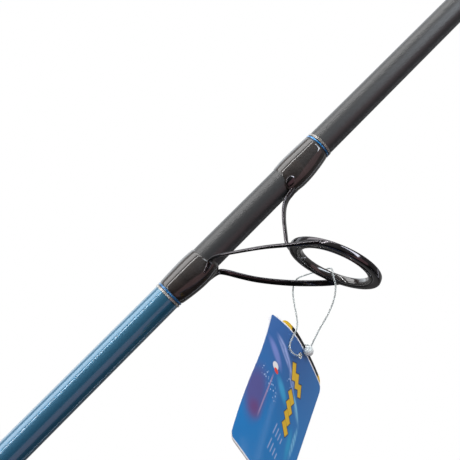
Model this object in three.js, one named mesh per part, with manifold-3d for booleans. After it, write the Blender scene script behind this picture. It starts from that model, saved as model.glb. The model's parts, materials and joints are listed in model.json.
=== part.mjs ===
// A two-piece spinning rod, held in a rod holder at a slant with its guides underneath,
// and a pair of swing cards tied to its stripper guide by a nylon loop.
// Millimetres, +Z up. The origin is the centre of the butt cap's flat end. The rod runs up
// and towards +X in the XZ plane.
import * as THREE from "three";
import { mergeVertices } from "three/addons/utils/BufferGeometryUtils.js";
import Module from "manifold-3d";

const wasm = await Module();
wasm.setup();

// ---- Driving dimensions ----
const ROD_ELEVATION = THREE.MathUtils.degToRad(42);
const ROD_LENGTH = 1676; // 5 ft 6 in
const GAP = 0.3; // running gap between pieces that touch
const FINE = 32; // facets round the stripper guide's ring
const ROUND = 20; // facets round the blank, grips and seat
const WRAP_FACETS = 16;
const SMALL_RING_FACETS = 18;

// Blank
const RING_STATION = 900; // along the rod, from the butt end to the stripper ring's centre
const BLANK_RADIUS = 6.9; // outer radius at RING_STATION
const BUTT_SLOPE = 0.00225; // radius lost per mm of the butt section
const WALL = 1.5;
const FERRULE_START = 1100; // lower end of the tip section
const FERRULE_END = 1190; // upper end of the butt section, inside the tip section
const TIP_RADIUS = 1.2;

// Handle stations along the rod
const CAP_FLOOR = 6;
const CAP_END = 34;
const REAR_GRIP_END = 352;
const REAR_CHECK_END = 357;
const SEAT_END = 500;
const FOREGRIP_END = 628;
const FORE_CHECK_END = 634;
const KEEPER_STATION = 668;

// Reel seat
const SEAT_RADIUS = 12.2;
const BED_DEPTH = 10.9; // from the rod's axis to the flat bed
const BED_START = 400;
const BED_END = 468;
const HOOD_LENGTH = 26;
const HOOD_WALL = 2;
const NUT_LENGTH = 14;
const NUT_RADIUS = 15.4;
const NUT_FLATS = 12; // grip flats all round the lock nut
const POCKET_HEIGHT = 4.6;
const POCKET_WIDTH = 13;
const THROAT_OVERLAP = 1; // how far a bore's cutter runs past each end

// Stripper guide, in its own frame: x along the rod from the ring's centre, z up
const GUIDE_TILT = THREE.MathUtils.degToRad(22.4);
const RING_HEIGHT = 51.1; // from the rod's axis to the ring's centre
const RING_OUTER = 21.8;
const RING_SPLIT = 18.2; // between the frame's ring and the ceramic insert
const RING_INNER = 15.8;
const RING_THICKNESS = 3.2;
const STRIPPER_FOOT_WIDTH = 5.4;
const REAR_FOOT = { tip: -58, root: -38 };
const FRONT_FOOT = { tip: 36, root: 15 };

// Running guides, in proportion to their height and ring
const REAR_ROOT = 0.55; // distance from the ring to the rear foot's root, per unit of height
const FRONT_ROOT = 0.3; // the same for a front foot
const LEG_MEETS_RING = 1.15; // angle from the ring's near point, in radians
const FOOT_THICKNESS = 0.9;
const KEEPER_WIRE = 1.2;

// Tag
const CARD_WIDTH = 51.5;
const CARD_SHIFT = 2.25; // its middle sits this far to one side of its hole
const CARD_HEIGHT = 68;
const CARD_THICKNESS = 0.5;
const CARD_BEND = 78; // radius that the cards are curled to
const CARD_CORNER = 4;
const CARD_HOLE = 1.6;
const HOLE_INSET = 5;
const CARD_SPACING = 0.9;
const BEAD_RADIUS = 2.3;
const CORD_DIAMETER = 0.8;
const CARD_HANG = new THREE.Vector3(11.3, 20.3, -71.4); // the hole, from the blank at RING_STATION
const CARD_TURN = [-26, 8.5, -12.4].map(THREE.MathUtils.degToRad);
const BACK_CARD_RISE = 1.8; // its top edge stands above the front card's
const BACK_CARD_WIDTH = 45;
const BACK_CARD_SHIFT = 5.5;

const FINISH = {
  blank: { color: 0x3c3c3e, roughness: 0.35, metalness: 0.1 },
  grip: { color: 0x1c1c1e, roughness: 0.9, metalness: 0 },
  rubber: { color: 0x151515, roughness: 0.8, metalness: 0 },
  seat: { color: 0x202226, roughness: 0.35, metalness: 0.1 },
  anodised: { color: 0x2c6fa8, roughness: 0.3, metalness: 0.9 },
  thread: { color: 0x231d1c, roughness: 0.12, metalness: 0 },
  blueThread: { color: 0x1e6eaa, roughness: 0.15, metalness: 0.2 },
  silverThread: { color: 0xbdb8ae, roughness: 0.25, metalness: 0.7 },
  chrome: { color: 0x55565c, roughness: 0.12, metalness: 1 },
  ceramic: { color: 0x2e2726, roughness: 0.2, metalness: 0.1 },
  nylon: { color: 0xd9dde0, roughness: 0.35, metalness: 0 },
  card: { color: 0x1e6397, roughness: 0.3, metalness: 0 },
  backCard: { color: 0x17181a, roughness: 0.35, metalness: 0 },
};

// ---- Geometry helpers ----
function toSolid(geometry) {
  const bare = new THREE.BufferGeometry();
  bare.setAttribute("position", geometry.getAttribute("position"));
  bare.setIndex(geometry.index);
  const merged = mergeVertices(bare, 1e-4);
  const mesh = new wasm.Mesh({
    numProp: 3,
    vertProperties: new Float32Array(merged.attributes.position.array),
    triVerts: new Uint32Array(merged.index.array),
  });
  return new wasm.Manifold(mesh);
}

function toGeometry(solid) {
  const mesh = solid.getMesh();
  const geometry = new THREE.BufferGeometry();
  geometry.setAttribute("position", new THREE.BufferAttribute(mesh.vertProperties, 3));
  geometry.setIndex(new THREE.BufferAttribute(mesh.triVerts, 1));
  geometry.computeVertexNormals();
  return geometry;
}

// Joins the first group of geometries and cuts the second group from them.
function carve(pieces, cutters = []) {
  let solid = toSolid(pieces[0]);
  for (const piece of pieces.slice(1)) solid = solid.add(toSolid(piece));
  for (const cutter of cutters) solid = solid.subtract(toSolid(cutter));
  return toGeometry(solid);
}

// Turns a closed outline of [along, radius] points round the X axis.
function turned(outline, facets = ROUND) {
  const points = [...outline, outline[0]].map(([along, radius]) => new THREE.Vector2(radius, along));
  return new THREE.LatheGeometry(points, facets).rotateZ(-Math.PI / 2);
}

// A sleeve: an outer profile of [along, radius] points, and a bore radius at each end.
function sleeve(outer, boreStart, boreEnd = boreStart, facets = ROUND) {
  const start = outer[0][0];
  const end = outer[outer.length - 1][0];
  return turned([...outer, [end, boreEnd], [start, boreStart]], facets);
}

function rod(start, end, radius, facets = ROUND) {
  return turned([[start, 0], [start, radius], [end, radius], [end, 0]], facets);
}

function block(size, centre) {
  return new THREE.BoxGeometry(...size).translate(...centre);
}

// Skins a row of equal closed sections, with a flat cap at each end.
function loft(sections) {
  const count = sections[0].length;
  const positions = sections.flat().flatMap((p) => [p.x, p.y, p.z]);
  const index = [];
  for (let s = 0; s + 1 < sections.length; s += 1) {
    for (let i = 0; i < count; i += 1) {
      const a = s * count + i;
      const b = s * count + ((i + 1) % count);
      index.push(a, b + count, b, a, a + count, b + count);
    }
  }
  const last = (sections.length - 1) * count;
  for (let i = 1; i + 1 < count; i += 1) {
    index.push(0, i, i + 1);
    index.push(last, last + i + 1, last + i);
  }
  const geometry = new THREE.BufferGeometry();
  geometry.setAttribute("position", new THREE.Float32BufferAttribute(positions, 3));
  geometry.setIndex(index);
  return geometry;
}

// A bar with rounded edges swept along a smooth curve. Its flat side turns from
// faceStart to faceEnd, and its width and thickness change from one end to the other.
function bar(route, { width, thickness, faceStart, faceEnd = faceStart, steps = 12, sides = 8 }) {
  const curve = new THREE.CatmullRomCurve3(route.map((p) => new THREE.Vector3(...p)));
  const sections = [];
  for (let s = 0; s <= steps; s += 1) {
    const t = s / steps;
    const centre = curve.getPointAt(t);
    const along = curve.getTangentAt(t);
    const face = new THREE.Vector3(...faceStart).lerp(new THREE.Vector3(...faceEnd), t);
    const across = new THREE.Vector3().crossVectors(along, face).normalize();
    const out = new THREE.Vector3().crossVectors(across, along).normalize();
    const halfWidth = THREE.MathUtils.lerp(width[0], width[1], t) / 2;
    const halfThickness = THREE.MathUtils.lerp(thickness[0], thickness[1], t) / 2;
    const section = [];
    for (let i = 0; i < sides; i += 1) {
      const angle = (2 * Math.PI * (i + 0.5)) / sides;
      const point = centre.clone();
      point.addScaledVector(across, halfWidth * Math.cos(angle));
      point.addScaledVector(out, halfThickness * Math.sin(angle));
      section.push(point);
    }
    sections.push(section);
  }
  return loft(sections);
}

const root = new THREE.Group();
const rodGroup = new THREE.Group();
rodGroup.rotation.y = -ROD_ELEVATION;
root.add(rodGroup);

function add(group, name, finish, geometry) {
  const material = new THREE.MeshStandardMaterial(FINISH[finish]);
  const mesh = new THREE.Mesh(geometry, material);
  mesh.name = name;
  group.add(mesh);
  return mesh;
}

// ---- Blank ----
// Outer radius of the butt section, and of the tip section above it.
const buttRadius = (station) => BLANK_RADIUS - BUTT_SLOPE * (station - RING_STATION);
const socketRadius = (station) => buttRadius(station) + GAP;
const FERRULE_RADIUS = socketRadius(FERRULE_START) + WALL;
const SHOULDER_STATION = FERRULE_END + 30;
const SHOULDER_RADIUS = 6.9;
const TIP_END = ROD_LENGTH - 12;

function tipRadius(station) {
  if (station < FERRULE_END) return FERRULE_RADIUS;
  if (station < SHOULDER_STATION) {
    const t = (station - FERRULE_END) / (SHOULDER_STATION - FERRULE_END);
    return THREE.MathUtils.lerp(FERRULE_RADIUS, SHOULDER_RADIUS, t);
  }
  const t = (station - SHOULDER_STATION) / (TIP_END - SHOULDER_STATION);
  return THREE.MathUtils.lerp(SHOULDER_RADIUS, TIP_RADIUS, t);
}

const blankAt = (station) => (station < FERRULE_START ? buttRadius(station) : tipRadius(station));

const BLANK_START = CAP_FLOOR + GAP;
add(rodGroup, "butt_blank", "blank", turned([
  [BLANK_START, buttRadius(BLANK_START)],
  [FERRULE_END, buttRadius(FERRULE_END)],
  [FERRULE_END, buttRadius(FERRULE_END) - WALL],
  [BLANK_START, buttRadius(BLANK_START) - WALL],
]));

const HOLLOW_END = 1560; // the bore closes here, and the tip is solid beyond it
const SOCKET_FLOOR = FERRULE_END + 2; // the socket's own bore ends here
add(rodGroup, "tip_blank", "blank", turned([
  [FERRULE_START, FERRULE_RADIUS],
  [FERRULE_END, FERRULE_RADIUS],
  [SHOULDER_STATION, SHOULDER_RADIUS],
  [TIP_END, TIP_RADIUS],
  [TIP_END, 0],
  [HOLLOW_END, 0],
  [SHOULDER_STATION, SHOULDER_RADIUS - WALL],
  [SOCKET_FLOOR + 2, socketRadius(FERRULE_END) - WALL],
  [SOCKET_FLOOR, socketRadius(FERRULE_END)],
  [FERRULE_START, socketRadius(FERRULE_START)],
]));

// ---- Handle ----
add(rodGroup, "butt_cap", "rubber", turned([
  [0, 0], [0, 14.5], [2, 16.5], [8, 17.2], [24, 16.8], [CAP_END, 15.8],
  [CAP_END, socketRadius(CAP_END)], [CAP_FLOOR, socketRadius(CAP_FLOOR)], [CAP_FLOOR, 0],
]));

add(rodGroup, "rear_grip", "grip", sleeve(
  [
    [CAP_END + GAP, 15.4], [60, 15.8], [110, 14.2], [200, 13.4], [300, 14.2], [340, 15.6],
    [REAR_GRIP_END, 15.4],
  ],
  socketRadius(CAP_END),
  socketRadius(REAR_GRIP_END),
));

add(rodGroup, "rear_check", "anodised", sleeve(
  [[REAR_GRIP_END + GAP, 15.2], [354, 15.8], [356, 15.6], [REAR_CHECK_END, 14.6]],
  socketRadius(REAR_GRIP_END),
));

const seatBore = socketRadius(REAR_CHECK_END);
const seatBarrel = sleeve([[REAR_CHECK_END + GAP, SEAT_RADIUS], [SEAT_END, SEAT_RADIUS]], seatBore);
const bedLength = BED_END - BED_START;
const bedCutter = block(
  [bedLength, 3 * SEAT_RADIUS, SEAT_RADIUS],
  [(BED_START + BED_END) / 2, 0, -BED_DEPTH - SEAT_RADIUS / 2],
);
add(rodGroup, "reel_seat_body", "seat", carve([seatBarrel], [bedCutter]));

// A hood is a collar round the seat with a pocket underneath for one end of a reel foot.
// The pocket opens towards +X if facing is 1, and towards -X if it is -1.
function hood(start, facing) {
  const end = start + HOOD_LENGTH;
  const bore = SEAT_RADIUS + GAP;
  const outer = bore + HOOD_WALL;
  const collar = rod(start, end, outer);
  const hump = rod(start, end, POCKET_WIDTH / 2 + HOOD_WALL)
    .translate(0, 0, -(bore + POCKET_HEIGHT - POCKET_WIDTH / 2));
  const throat = rod(start - THROAT_OVERLAP, end + THROAT_OVERLAP, bore);
  const overlap = 4; // how far the pocket's cutter reaches into the throat
  const pocket = block(
    [HOOD_LENGTH, POCKET_WIDTH, POCKET_HEIGHT + overlap],
    [(start + end) / 2 + facing * HOOD_WALL, 0, -(bore + (POCKET_HEIGHT - overlap) / 2)],
  );
  return carve([collar, hump], [throat, pocket]);
}

const NUT_START = REAR_CHECK_END + 2 * GAP;
const NUT_END = NUT_START + NUT_LENGTH;
const HOOD_START = NUT_END + GAP;
const FIXED_HOOD_START = SEAT_END - HOOD_LENGTH - 4;
add(rodGroup, "fixed_hood", "anodised", hood(FIXED_HOOD_START, -1));
add(rodGroup, "sliding_hood", "anodised", hood(HOOD_START, 1));

// The lock nut's bore has as many facets as its outside, and they clear the seat's threads.
const NUT_BORE = (SEAT_RADIUS + GAP) / Math.cos(Math.PI / NUT_FLATS);
add(rodGroup, "lock_nut", "anodised", carve(
  [rod(NUT_START, NUT_END, NUT_RADIUS, NUT_FLATS)],
  [rod(NUT_START - THROAT_OVERLAP, NUT_END + THROAT_OVERLAP, NUT_BORE, NUT_FLATS)],
));

add(rodGroup, "foregrip", "grip", sleeve(
  [[SEAT_END + GAP, 15.2], [515, 15.6], [560, 14.4], [600, 12.6], [622, 11.4], [FOREGRIP_END, 10.8]],
  socketRadius(SEAT_END),
  socketRadius(FOREGRIP_END),
));

add(rodGroup, "fore_check", "anodised", sleeve(
  [[FOREGRIP_END + GAP, 10.8], [630, 11], [632.5, 9.8], [FORE_CHECK_END, 9.2]],
  socketRadius(FOREGRIP_END),
));

// ---- Thread wraps ----
// A wrap binds a foot, or just the blank. It is thickest at bulge (0 to 1 along its
// length) and sags towards the foot by sag. slots are solids that it has to leave free.
function wrap({ start, end, bulge = 0.5, height, endHeight = 0.7, sag = 0, slots = [] }) {
  const length = end - start;
  const middle = blankAt((start + end) / 2);
  const outline = [0, 0.15, 0.5, 0.85, 1].map((t) => {
    const distance = Math.abs(t - bulge) / Math.max(bulge, 1 - bulge);
    const rise = THREE.MathUtils.lerp(height, endHeight, distance * distance);
    return [start + t * length, middle + rise];
  });
  const bore = Math.max(blankAt(start), blankAt(end)) + GAP;
  const outer = turned([[start, 0], ...outline, [end, 0]], WRAP_FACETS).translate(0, 0, -sag);
  const cutter = rod(start - THROAT_OVERLAP, end + THROAT_OVERLAP, bore, WRAP_FACETS);
  return carve([outer], [cutter, ...slots]);
}

const band = (start, end, height) =>
  sleeve([[start, blankAt(start) + height], [end, blankAt(end) + height]], blankAt(start) + GAP);

// ---- Guides ----
// An elliptical section turned round the ring's own axis, which leans by tilt.
function ringSolid(inner, outer, thickness, tilt, height, facets, sides) {
  const middle = (inner + outer) / 2;
  const outline = [];
  for (let i = 0; i < sides; i += 1) {
    const angle = (-2 * Math.PI * (i + 0.5)) / sides;
    const radius = middle + ((outer - inner) / 2) * Math.cos(angle);
    outline.push([(-thickness / 2) * Math.sin(angle), radius]);
  }
  return turned(outline, facets).rotateY(-tilt).translate(0, 0, -height);
}

// A point on a guide's leaning ring: turn is 0 at the point nearest the blank.
function ringPoint(radius, turn, tilt, height) {
  const inPlane = -radius * Math.cos(turn);
  return [inPlane * Math.sin(tilt), radius * Math.sin(turn), -height - inPlane * Math.cos(tilt)];
}

const footCentre = (radius) => -(radius + GAP + FOOT_THICKNESS / 2);

// A foot lies along the blank under its wrap and thins towards its tip.
function foot(tipX, rootX, radius, width) {
  const z = footCentre(radius);
  return bar([[tipX, 0, z], [(tipX + rootX) / 2, 0, z], [rootX, 0, z]], {
    width: [width * 0.4, width],
    thickness: [FOOT_THICKNESS * 0.7, FOOT_THICKNESS],
    faceStart: [0, 0, -1],
    steps: 4,
  });
}

// The slot that a wrap leaves for a foot.
function footSlot(tipX, rootX, radius, width) {
  const depth = FOOT_THICKNESS + 2 * GAP;
  return block(
    [Math.abs(rootX - tipX) + 4 * GAP, width + 2 * GAP, depth],
    [(tipX + rootX) / 2, 0, -(radius + depth / 2)],
  );
}

// The stripper guide: two legs run from the rear foot to the ring's sides, and one leg
// runs back from the front foot to the ring's near point.
function stripperGuide() {
  const group = new THREE.Group();
  group.position.x = RING_STATION;
  rodGroup.add(group);

  const rearRadius = blankAt(RING_STATION + REAR_FOOT.root);
  const frontRadius = blankAt(RING_STATION + FRONT_FOOT.root);
  const frame = [ringSolid(RING_SPLIT, RING_OUTER, RING_THICKNESS, GUIDE_TILT, RING_HEIGHT, FINE, 8)];
  frame.push(foot(REAR_FOOT.tip, REAR_FOOT.root + 1, rearRadius, STRIPPER_FOOT_WIDTH));
  frame.push(foot(FRONT_FOOT.tip, FRONT_FOOT.root - 1, frontRadius, STRIPPER_FOOT_WIDTH * 0.8));
  for (const side of [-1, 1]) {
    frame.push(bar(
      [
        [-39.6, side * 1, footCentre(rearRadius)],
        [-37, side * 2.8, -8.3],
        [-33.2, side * 8.8, -11.6],
        [-26.9, side * 15.2, -19.6],
        [-17.9, side * 19.2, -30.5],
        [-9.5, side * 20.6, -40.2],
        [-3, side * 19.9, -44.6],
      ],
      {
        width: [2.4, 3],
        thickness: [1, 1.5],
        faceStart: [0, side * 0.2, -1],
        faceEnd: [0.2, side, 0.3],
        steps: 18,
      },
    ));
  }
  frame.push(bar(
    [
      [17, 0, footCentre(frontRadius)],
      [12.6, 0, -8.2],
      [7.7, 0, -9.9],
      [2.4, 0, -14.8],
      [-3.3, 0, -21.7],
      [-7.1, 0, -27],
      [-7.9, 0, -31.6],
    ],
    {
      width: [3.6, 3.2],
      thickness: [1, 1.6],
      faceStart: [0, 0, -1],
      faceEnd: [1, 0, 0.2],
      steps: 16,
    },
  ));
  add(group, "stripper_guide_frame", "chrome", carve(frame));
  add(group, "stripper_guide_ring", "ceramic",
    ringSolid(RING_INNER, RING_SPLIT - GAP, RING_THICKNESS + 0.4, GUIDE_TILT, RING_HEIGHT, FINE, 8));

  const toGroup = (solid) => solid.translate(RING_STATION, 0, 0);
  add(rodGroup, "stripper_rear_wrap", "thread", wrap({
    start: RING_STATION - 60.4,
    end: RING_STATION - 38.6,
    bulge: 0.72,
    height: 1.9,
    sag: 0.45,
    slots: [toGroup(footSlot(REAR_FOOT.tip, REAR_FOOT.root + 6, rearRadius, STRIPPER_FOOT_WIDTH))],
  }));
  add(rodGroup, "stripper_front_wrap", "thread", wrap({
    start: RING_STATION + 16.6,
    end: RING_STATION + 39.4,
    bulge: 0.28,
    height: 1.9,
    sag: 0.45,
    slots: [toGroup(footSlot(FRONT_FOOT.tip, FRONT_FOOT.root - 6, frontRadius, STRIPPER_FOOT_WIDTH))],
  }));
  const trims = [
    ["rear_silver_band", "silverThread", -63.2, -62.0],
    ["rear_blue_band", "blueThread", -61.7, -60.7],
    ["front_blue_band", "blueThread", 39.7, 40.7],
    ["front_silver_band", "silverThread", 41.0, 42.2],
  ];
  for (const [name, finish, from, to] of trims) {
    add(rodGroup, name, finish, band(RING_STATION + from, RING_STATION + to, 0.8));
  }
}
stripperGuide();

// A running guide: a wire frame with a leaning ring, on one foot or two. The legs reach
// the ring's sides from the front foot, and a second foot braces it from behind.
function runningGuide({ name, station, ringRadius, height, footLength, feet }) {
  const group = new THREE.Group();
  group.position.x = station;
  rodGroup.add(group);
  const rim = Math.max(1.6, ringRadius * 0.18);
  const thickness = Math.max(1.8, ringRadius * 0.16);
  const split = ringRadius - rim * 0.55;
  const wire = Math.max(1.1, ringRadius * 0.1);
  const ring = (inner, outer) =>
    ringSolid(inner, outer, thickness, GUIDE_TILT, height, SMALL_RING_FACETS, 6);
  const meetingPoint = (turn) => ringPoint((split + ringRadius) / 2, turn, GUIDE_TILT, height);
  const rearRoot = -height * REAR_ROOT;
  const rearTip = rearRoot - footLength;
  const rearRadius = blankAt(station + rearTip);
  const footWidth = wire * 2.6;
  const frame = [ring(split, ringRadius)];
  frame.push(foot(rearTip, rearRoot + 1, rearRadius, footWidth));
  for (const side of [-1, 1]) {
    const end = meetingPoint(side * LEG_MEETS_RING);
    const rise = height - rearRadius;
    frame.push(bar(
      [
        [rearRoot - 1, side * wire * 0.5, footCentre(rearRadius)],
        [rearRoot + 1.5, side * wire * 0.9, footCentre(rearRadius) - 0.5],
        [rearRoot * 0.6, end[1] * 0.75, -(rearRadius + rise * 0.42)],
        end,
      ],
      {
        width: [wire, wire],
        thickness: [FOOT_THICKNESS, wire],
        faceStart: [0, 0, -1],
        faceEnd: [0, side, 0.2],
        steps: 7,
        sides: 5,
      },
    ));
  }
  const wraps = [[`${name}_wrap`, rearTip, rearRoot]];
  if (feet === 2) {
    const frontRoot = height * FRONT_ROOT;
    const frontTip = frontRoot + footLength;
    const frontRadius = blankAt(station + frontRoot);
    const near = meetingPoint(0);
    frame.push(foot(frontTip, frontRoot - 1, frontRadius, footWidth));
    frame.push(bar(
      [
        [frontRoot + 1, 0, footCentre(frontRadius)],
        [frontRoot - 2.5, 0, footCentre(frontRadius) - 0.6],
        [(frontRoot + near[0]) / 2, 0, (near[2] - frontRadius) / 2 - 1],
        near,
      ],
      {
        width: [wire * 1.4, wire * 1.4],
        thickness: [FOOT_THICKNESS, wire],
        faceStart: [0, 0, -1],
        faceEnd: [1, 0, 0.2],
        steps: 7,
        sides: 5,
      },
    ));
    wraps.push([`${name}_front_wrap`, frontRoot, frontTip]);
  }
  add(group, `${name}_frame`, "chrome", carve(frame));
  add(group, `${name}_ring`, "ceramic", ring(ringRadius - rim, split - GAP));
  for (const [wrapName, from, to] of wraps) {
    const low = Math.min(from, to);
    const high = Math.max(from, to);
    const isRear = from === rearTip;
    const slotStart = isRear ? low : low - 3;
    const slotEnd = isRear ? high + 3 : high;
    const slot = footSlot(slotStart, slotEnd, blankAt(station + low), footWidth);
    add(rodGroup, wrapName, "thread", wrap({
      start: station + low - 3,
      end: station + high - 0.6 + (isRear ? 0 : 3.6),
      height: 1.8,
      sag: 0.4,
      slots: [slot.translate(station, 0, 0)],
    }));
  }
}

const RUNNING_GUIDES = [
  { name: "second_guide", station: 1262, ringRadius: 13.6, height: 34, footLength: 17, feet: 2 },
  { name: "third_guide", station: 1395, ringRadius: 9, height: 23.5, footLength: 15, feet: 1 },
  { name: "fourth_guide", station: 1492, ringRadius: 7, height: 17.5, footLength: 13, feet: 1 },
  { name: "fifth_guide", station: 1570, ringRadius: 5.8, height: 14, footLength: 12, feet: 1 },
  { name: "sixth_guide", station: 1630, ringRadius: 5.2, height: 11.5, footLength: 11, feet: 1 },
];
for (const guide of RUNNING_GUIDES) runningGuide(guide);

// Tip top: a tube over the tip with a leaning ring held by two side wires.
function tipTop() {
  const group = new THREE.Group();
  group.position.x = ROD_LENGTH;
  rodGroup.add(group);
  const ringRadius = 5;
  const split = 4;
  const height = 4.6;
  const tilt = 0.2;
  const tubeStart = -42;
  const tubeEnd = -9;
  const bore = tipRadius(ROD_LENGTH + tubeStart) + GAP;
  const tube = sleeve([[tubeStart, bore + 0.5], [tubeEnd, bore + 0.5]], bore);
  const frame = [tube, ringSolid(split, ringRadius, 1.8, tilt, height, SMALL_RING_FACETS, 6)];
  for (const side of [-1, 1]) {
    frame.push(bar(
      [
        [tubeStart + 20, side * (bore + 0.4), -0.6],
        [tubeEnd, side * (bore + 0.9), -1.2],
        [-3, side * 3.6, -height * 0.7],
        ringPoint((split + ringRadius) / 2, side * 1.6, tilt, height),
      ],
      {
        width: [1.1, 1.1],
        thickness: [1.1, 1.1],
        faceStart: [0, side, 0],
        steps: 6,
        sides: 5,
      },
    ));
  }
  add(group, "tip_top_frame", "chrome", carve(frame));
  add(group, "tip_top_ring", "ceramic", ringSolid(2.7, split - GAP, 1.9, tilt, height, SMALL_RING_FACETS, 6));
  const wrapEnd = ROD_LENGTH + tubeStart - GAP;
  add(rodGroup, "tip_top_wrap", "thread", wrap({ start: wrapEnd - 5, end: wrapEnd, height: 0.9 }));
}

// Wraps without a foot: at the mouth of the ferrule and over the hook keeper.
add(rodGroup, "ferrule_wrap", "thread", wrap({
  start: FERRULE_START + 1,
  end: FERRULE_START + 30,
  height: 1,
}));

function hookKeeper() {
  const radius = blankAt(KEEPER_STATION);
  const rest = -(radius + GAP + KEEPER_WIRE / 2);
  const loop = [
    [-16, rest], [-8, rest], [-5.5, rest - 1], [-4, rest - 5], [0, rest - 6.5], [4, rest - 5],
    [5.5, rest - 1], [8, rest], [16, rest],
  ];
  add(rodGroup, "hook_keeper", "chrome", bar(loop.map(([x, z]) => [x + KEEPER_STATION, 0, z]), {
    width: [KEEPER_WIRE, KEEPER_WIRE],
    thickness: [KEEPER_WIRE, KEEPER_WIRE],
    faceStart: [0, 1, 0],
    steps: 24,
    sides: 6,
  }));
  const depth = KEEPER_WIRE + 2 * GAP;
  for (const [name, side] of [["keeper_rear_wrap", -1], ["keeper_front_wrap", 1]]) {
    const centre = KEEPER_STATION + side * 13.5;
    const slot = block([14, depth, depth + 0.4], [centre - side * 2.2, 0, -(radius + (depth - 0.4) / 2)]);
    add(rodGroup, name, "thread", wrap({
      start: centre - 4.5,
      end: centre + 4.5,
      height: 2.2,
      endHeight: 1.9,
      sag: 0.3,
      slots: [slot],
    }));
  }
}
hookKeeper();
tipTop();

// ---- Swing tag ----
// It hangs in the row's own frame from the stripper guide.
const tag = new THREE.Group();
tag.position.set(RING_STATION, 0, 0).applyAxisAngle(new THREE.Vector3(0, 1, 0), -ROD_ELEVATION);
root.add(tag);

// A curled card with round corners. Its hole is at the local origin, its top edge is
// HOLE_INSET above the hole, and it faces local +X.
function card(offset, rise, width, shift) {
  const half = width / 2;
  const corner = [0, 0.15, 0.4, 0.7, 1].map((t) => half - CARD_CORNER * t);
  const stations = [...corner.map((p) => -p), -10, 0, 10, ...corner.reverse()];
  const sections = stations.map((p) => {
    const cut = Math.max(0, Math.abs(p) - (half - CARD_CORNER));
    const drop = CARD_CORNER - Math.sqrt(CARD_CORNER * CARD_CORNER - cut * cut);
    const top = HOLE_INSET + rise - drop;
    const bottom = HOLE_INSET + rise - CARD_HEIGHT + drop;
    const turn = (p + shift) / CARD_BEND;
    const at = (out, z) => {
      const radius = CARD_BEND + out;
      return new THREE.Vector3(radius * Math.cos(turn) - CARD_BEND, radius * Math.sin(turn), z);
    };
    const front = offset + CARD_THICKNESS / 2;
    const back = offset - CARD_THICKNESS / 2;
    return [at(front, bottom), at(front, top), at(back, top), at(back, bottom)];
  });
  const punch = rod(-4, 4, CARD_HOLE, 16);
  return carve([loft(sections)], [punch]);
}

const cards = new THREE.Group();
cards.position.copy(CARD_HANG);
cards.rotation.set(...CARD_TURN, "XYZ");
tag.add(cards);
add(cards, "front_card", "card", card(0, 0, CARD_WIDTH, CARD_SHIFT));
const backCard = card(-CARD_SPACING, BACK_CARD_RISE, BACK_CARD_WIDTH, BACK_CARD_SHIFT);
add(cards, "back_card", "backCard", backCard);

// The loop leaves the bead, rises through the guide's ring, lies over the rim and the leg,
// comes down in front of the cards, goes back through their holes and returns over their
// top edge to the bead.
const BEAD_CENTRE = [15.0, 22.7, -69.0];
const CORD_ROUTE = [
  [16.4, 22.3, -66.7],
  [18.6, 21.7, -63.3],
  [20.9, 21.0, -59.8],
  [26.1, 19.5, -52.8],
  [29.5, 17.5, -47.0],
  [31.0, 15.5, -41.6],
  [30.8, 13.8, -38.6],
  [30.6, 13.2, -35.8],
  [29.8, 14.4, -33.0],
  [26.2, 18.0, -31.1],
  [22.0, 19.6, -30.9],
  [16.4, 20.2, -31.4],
  [11.4, 21.2, -32.5],
  [9.4, 22.6, -35.0],
  [8.9, 22.5, -38.5],
  [9.5, 21.5, -44.8],
  [10.9, 19.2, -52.3],
  [12.0, 15.4, -58.2],
  [12.0, 12.8, -62.0],
  [10.8, 11.2, -65.6],
  [9.7, 9.9, -69.0],
  [9.6, 9.7, -71.8],
  [10.7, 11.5, -73.6],
  [12.2, 15.2, -73.4],
  [12.6, 18.6, -72.0],
  [10.8, 20.4, -71.4],
  [8.7, 22.2, -70.3],
  [8.9, 24.6, -67.6],
  [11.4, 26.3, -65.1],
  [13.9, 25.8, -65.6],
  [14.9, 24.7, -67.0],
];
const CORD_SIDES = 8;
const CORD_STEPS = 60;

function cordTube(route) {
  const curve = new THREE.CatmullRomCurve3(route.map((p) => new THREE.Vector3(...p)), false, "centripetal");
  const section = new THREE.Shape();
  for (let i = 0; i < CORD_SIDES; i += 1) {
    const angle = (2 * Math.PI * i) / CORD_SIDES;
    const x = (CORD_DIAMETER / 2) * Math.cos(angle);
    const y = (CORD_DIAMETER / 2) * Math.sin(angle);
    if (i === 0) section.moveTo(x, y);
    else section.lineTo(x, y);
  }
  section.closePath();
  return new THREE.ExtrudeGeometry(section, { steps: CORD_STEPS, extrudePath: curve });
}
add(tag, "tag_cord", "nylon", cordTube(CORD_ROUTE));
add(tag, "loop_bead", "nylon", new THREE.SphereGeometry(BEAD_RADIUS, 16, 10).translate(...BEAD_CENTRE));

export default root;
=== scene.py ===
"""A take-apart spinning rod with a pair of swing cards on its largest guide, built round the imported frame.

The rod lies along its own X axis, with its guides towards its own -Z. ROD turns that frame into the
row frame. Lengths called by a plain name are millimetres, and MM turns them into Blender's metres.
"""
import json
from math import cos, hypot, pi, radians, sin, sqrt

import bmesh
import bpy
from mathutils import Euler, Matrix, Vector


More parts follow.
